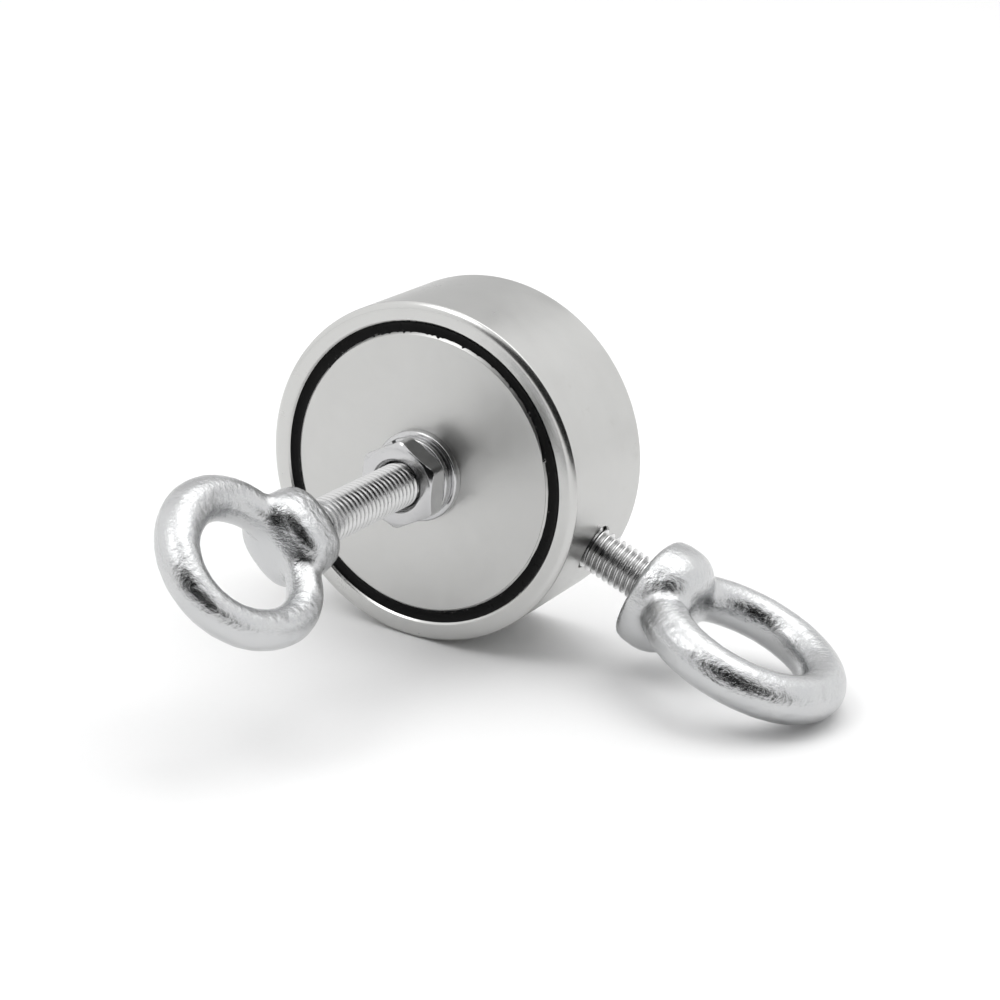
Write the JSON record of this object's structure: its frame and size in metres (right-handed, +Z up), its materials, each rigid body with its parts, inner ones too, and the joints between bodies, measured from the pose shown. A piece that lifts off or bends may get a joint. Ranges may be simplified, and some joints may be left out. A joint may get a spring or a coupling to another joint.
{
  "type": "magnet fishing magnet",
  "caption": "Double-sided magnet fishing magnet: steel pot with a magnet disc potted in each face, a long eyebolt with lock nut on the front and an eyebolt in the side wall.",
  "frame": {"origin": "centre of the bottom of the part's box, on the ground that the round wall and the side eye's ring stand on", "axes": "+Z up; the pot's axis is along Y with the front face and its eyebolt towards -Y; the side eyebolt points towards +X, leaning down to the ground"},
  "size_m": [0.1316, 0.126, 0.075],
  "materials": {
    "pot_nickel": "satin nickel plate over turned steel, brighter polished rims",
    "magnet_nickel": "satin nickel plate, cloudy soft reflections",
    "resin": "black cast epoxy resin, slightly glossy",
    "forged_zinc": "zinc plate over a rough forged surface, machined thread",
    "fastener_zinc": "bright zinc plate"
  },
  "bodies": {
    "pot": {"pot_housing": "pot_nickel", "front_magnet": "magnet_nickel", "rear_magnet": "magnet_nickel", "front_resin_ring": "resin", "rear_resin_ring": "resin"},
    "flat_washer": {"front_flat_washer": "fastener_zinc"},
    "front_eye": {"front_eye_bolt": "forged_zinc"},
    "spring_washer": {"front_spring_washer": "fastener_zinc"},
    "lock_nut": {"front_lock_nut": "fastener_zinc"},
    "side_eye": {"side_eye_bolt": "forged_zinc"}
  },
  "joints": [
    {"name": "front_eye_travel", "type": "slide", "parent": "pot", "child": "flat_washer", "axis": [0, -1, 0], "range_m": [0, 0.009]},
    {"name": "front_eye_turn", "type": "hinge", "parent": "flat_washer", "child": "front_eye", "pos_m": [-0.02832, 0.02402, 0.0375], "axis": [0, -1, 0], "range_deg": [0, 2160]},
    {"name": "lock_nut_travel", "type": "slide", "parent": "front_eye", "child": "spring_washer", "axis": [0, -1, 0], "range_m": [0, 0.03]},
    {"name": "lock_nut_turn", "type": "hinge", "parent": "spring_washer", "child": "lock_nut", "pos_m": [-0.02832, 0.02402, 0.0375], "axis": [0, -1, 0], "range_deg": [0, 7200]},
    {"name": "side_eye_turn", "type": "hinge", "parent": "pot", "child": "side_eye", "pos_m": [0.00695, 0.03972, 0.02476], "axis": [0.9406, 0, -0.3397], "range_deg": [-180, 180]}
  ],
  "couplings": [
    {"joint": "front_eye_travel", "follows": "front_eye_turn", "m_per_rad": 0.00023873},
    {"joint": "lock_nut_travel", "follows": "lock_nut_turn", "m_per_rad": 0.00023873}
  ]
}
